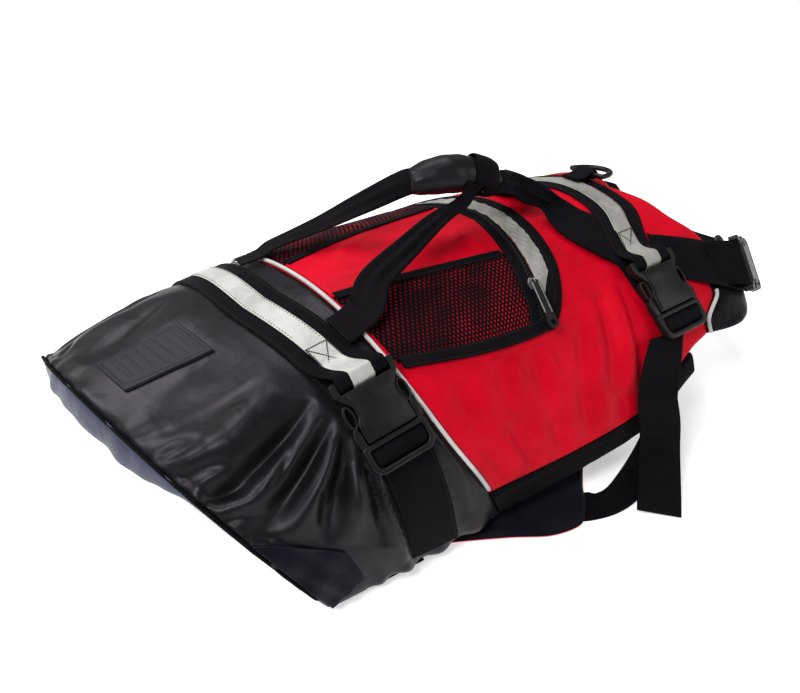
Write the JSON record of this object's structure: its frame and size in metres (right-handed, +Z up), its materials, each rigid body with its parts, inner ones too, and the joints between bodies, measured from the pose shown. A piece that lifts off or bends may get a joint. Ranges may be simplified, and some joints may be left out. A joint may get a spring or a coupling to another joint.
{
  "type": "dog life jacket",
  "caption": "Foam buoyancy jacket for a large dog, with side release buckles, a carrying handle on top, a mesh pocket, reflective tapes and a belly panel.",
  "frame": {"origin": "middle of the outline on the surface the jacket stands on, the bottom centre of the bounding box", "axes": "+X from the rump hem to the neck, +Z up, with the buckles on the -Y side"},
  "size_m": [0.7327, 0.5037, 0.2691],
  "materials": {
    "nylon_black": "coated nylon, soft sheen",
    "nylon_red": "woven nylon, matt",
    "lining_navy": "thin lining cloth, matt",
    "mesh_black": "open mesh",
    "webbing_black": "ribbed webbing, matt",
    "reflective_silver": "reflective tape, satin",
    "piping_white": "coated piping, satin",
    "buckle_plastic": "moulded, fine grain",
    "patch_rubber": "moulded, matt",
    "zip_metal": "dark plated, satin"
  },
  "bodies": {
    "jacket": {"belly_panel": "lining_navy", "binding_far": "webbing_black", "binding_near": "webbing_black", "body_red": "nylon_red", "buckle_front_female": "buckle_plastic", "buckle_front_male": "buckle_plastic", "buckle_neck_female": "buckle_plastic", "buckle_neck_male": "buckle_plastic", "buckle_rear_female": "buckle_plastic", "buckle_rear_male": "buckle_plastic", "chest_far": "nylon_black", "chest_near": "nylon_black", "d_ring_keeper": "webbing_black", "girth_front_belly": "webbing_black", "girth_front_lower_far": "webbing_black", "girth_front_lower_near": "webbing_black", "girth_front_tail": "webbing_black", "girth_front_tape": "reflective_silver", "girth_front_web": "webbing_black", "girth_rear_belly": "webbing_black", "girth_rear_tape": "reflective_silver", "girth_rear_web": "webbing_black", "handle_front_far": "webbing_black", "handle_front_near": "webbing_black", "handle_grip": "webbing_black", "handle_rear_far": "webbing_black", "handle_rear_near": "webbing_black", "mesh_binding_low_far": "webbing_black", "mesh_binding_low_near": "webbing_black", "mesh_binding_top_far": "webbing_black", "mesh_binding_top_near": "webbing_black", "neck_web": "webbing_black", "patch": "patch_rubber", "piping_front_far": "piping_white", "piping_front_near": "piping_white", "piping_rear": "piping_white", "pocket_flap": "nylon_red", "pocket_mesh_far": "mesh_black", "pocket_mesh_near": "mesh_black", "pocket_rim": "webbing_black", "rear_corner_far": "lining_navy", "rear_corner_near": "lining_navy", "rear_end_band": "lining_navy", "rear_panel": "nylon_black", "reflective_arc": "reflective_silver", "zip_slider": "zip_metal", "zip_tape": "webbing_black"},
    "zip_pull": {"zip_pull": "zip_metal"},
    "d_ring": {"d_ring": "buckle_plastic"}
  },
  "joints": [
    {"name": "zip_pull_swing", "type": "hinge", "parent": "jacket", "child": "zip_pull", "pos_m": [0.0269, -0.0789, 0.179], "axis": [-0.9778, 0.1848, 0.0992], "range_deg": [0, 110]},
    {"name": "d_ring_swing", "type": "hinge", "parent": "jacket", "child": "d_ring", "pos_m": [0.2052, 0.0471, 0.1933], "axis": [-0.0186, -0.9898, 0.1413], "range_deg": [0, 100]}
  ]
}
